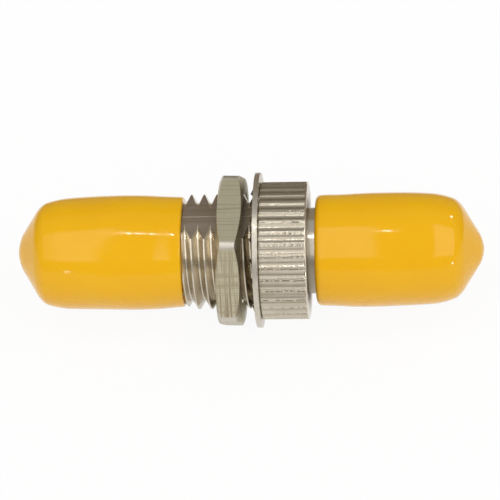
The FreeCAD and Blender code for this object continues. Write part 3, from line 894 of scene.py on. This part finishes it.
def makeFloor():
    bm = bmesh.new()
    bmesh.ops.create_grid(bm, x_segments=1, y_segments=1, size=studio["floorSize"] / 2 * mm)
    bmesh.ops.translate(bm, verts=bm.verts, vec=(0, 0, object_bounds()[0].z))
    mesh = bpy.data.meshes.new("floor")
    bm.to_mesh(mesh)
    bm.free()
    floor = bpy.data.objects.new("floor", mesh)
    scene.collection.objects.link(floor)
    material, tree = emptyMaterial("studio_floor")
    # the eye and reflections see it nearly white, with a faint shadow
    path = addNode(tree, "ShaderNodeLightPath", {})
    seen = path.outputs["Is Camera Ray"]
    for ray in ("Is Glossy Ray", "Is Transmission Ray"):
        either = addNode(tree, "ShaderNodeMath", {"operation": "MAXIMUM"}, {0: seen, 1: path.outputs[ray]})
        seen = either.outputs[0]
    share = addNode(
        tree, "ShaderNodeMath", {"operation": "MULTIPLY", 1: 1 - studio["shadowShare"]}, {0: seen}
    )
    paint = addNode(tree, "ShaderNodeBsdfDiffuse", {"Color": hexColor(studio["floorColor"])})
    white = addNode(tree, "ShaderNodeEmission", {"Color": (1, 1, 1, 1), "Strength": 1.0})
    mixed = addNode(
        tree, "ShaderNodeMixShader", {}, {0: share.outputs[0], 1: paint.outputs[0], 2: white.outputs[0]}
    )
    addNode(tree, "ShaderNodeOutputMaterial", {}, {"Surface": mixed.outputs[0]})
    mesh.materials.append(material)
    floor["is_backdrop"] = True


def aim(obj, location, target):
    obj.location = location
    obj.rotation_euler = (Vector(target) - Vector(location)).to_track_quat("-Z", "Y").to_euler()


def fromAngles(azimuth, elevation, distance):  # azimuth 0 is the side of the camera, in millimetres
    a, e = math.radians(azimuth), math.radians(elevation)
    return Vector((math.sin(a) * math.cos(e), -math.cos(a) * math.cos(e), math.sin(e))) * distance * mm


# place sideways, elevation on the camera's side, distance, width, height, brightness of the lit face
lamps = {
    "left_box": (-730, 59, 2000, 1140, 2560, 1.42),
    "outer_box": (-1770, 59, 2000, 940, 2560, 0.85),
    "right_box": (1560, 62, 2000, 2040, 2740, 1.56),
    "strip_lamp": (-60, 80, 2000, 60, 110, 42),
    "back_lamp": (1056, 129, 1700, 140, 140, 25),
    "front_lamp": (1294, 4, 1520, 140, 140, 25),
    "low_lamp": (-436, 3, 1520, 50, 60, 30),
}
backCard = {"behind": 30, "width": 400, "height": 44, "aboveFloor": 0.5, "color": "#9C9488"}


def makeLights():
    for name, (sideways, elevation, distance, width, height, level) in lamps.items():
        light = bpy.data.lights.new(name, "AREA")
        light.shape = "RECTANGLE"
        light.size = width * mm
        light.size_y = height * mm
        light.energy = level * math.pi * light.size * light.size_y  # gives the lit face that brightness
        lamp = bpy.data.objects.new(name, light)
        scene.collection.objects.link(lamp)
        shift = Vector((sideways * mm, 0, 0))
        aim(lamp, shift + fromAngles(0, elevation, distance), shift)
    world = bpy.data.worlds.new("studio")
    world.use_nodes = True
    sky = world.node_tree.nodes["Background"]
    sky.inputs["Color"].default_value = hexColor(studio["world"])
    sky.inputs["Strength"].default_value = studio["worldLevel"]
    scene.world = world


def makeCard():  # seen only as a reflection
    bm = bmesh.new()
    bmesh.ops.create_grid(bm, x_segments=1, y_segments=1, size=0.5 * mm)
    bmesh.ops.scale(bm, verts=bm.verts, vec=(backCard["width"], backCard["height"], 1))
    bmesh.ops.rotate(bm, verts=bm.verts, cent=(0, 0, 0), matrix=Matrix.Rotation(math.pi / 2, 3, "X"))
    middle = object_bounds()[0].z + (backCard["aboveFloor"] + backCard["height"] / 2) * mm
    bmesh.ops.translate(bm, verts=bm.verts, vec=(0, backCard["behind"] * mm, middle))
    mesh = bpy.data.meshes.new("far_card")
    bm.to_mesh(mesh)
    bm.free()
    card = bpy.data.objects.new("far_card", mesh)
    scene.collection.objects.link(card)
    material, tree = emptyMaterial("dark_card")
    paint = addNode(tree, "ShaderNodeBsdfDiffuse", {"Color": hexColor(backCard["color"])})
    addNode(tree, "ShaderNodeOutputMaterial", {}, {"Surface": paint.outputs[0]})
    mesh.materials.append(material)
    card.visible_camera = False
    card.visible_diffuse = False
    card.visible_shadow = False
    card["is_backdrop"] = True


# Camera at the photograph's angle, with a long lens
view = {
    "azimuth": 5.5, "elevation": 43.2, "roll": 4.52, "distance": 265, "imageWidth": 41.43,
    "centreX": -1.146, "axisBelow": 0.087, "sensor": 36, "clip": (10, 10000),
}


def makeCamera():
    data = bpy.data.cameras.new("camera")
    data.sensor_width = view["sensor"]
    data.lens = view["sensor"] * view["distance"] / view["imageWidth"]
    data.clip_start, data.clip_end = (reach * mm for reach in view["clip"])
    camera = bpy.data.objects.new("camera", data)
    scene.collection.objects.link(camera)
    back = fromAngles(view["azimuth"], view["elevation"], 1).normalized()
    turn = (-back).to_track_quat("-Z", "Y") @ Quaternion((0, 0, 1), math.radians(-view["roll"]))
    upward = turn @ Vector((0, 1, 0))
    camera.rotation_mode = "QUATERNION"
    camera.rotation_quaternion = turn
    target = Vector((view["centreX"] * mm, 0, 0)) + upward * view["axisBelow"] * mm
    camera.location = target + back * view["distance"] * mm
    scene.camera = camera


makeFloor()
makeLights()
makeCard()
makeCamera()
scene.view_settings.view_transform = "Standard"
print("studio ready")
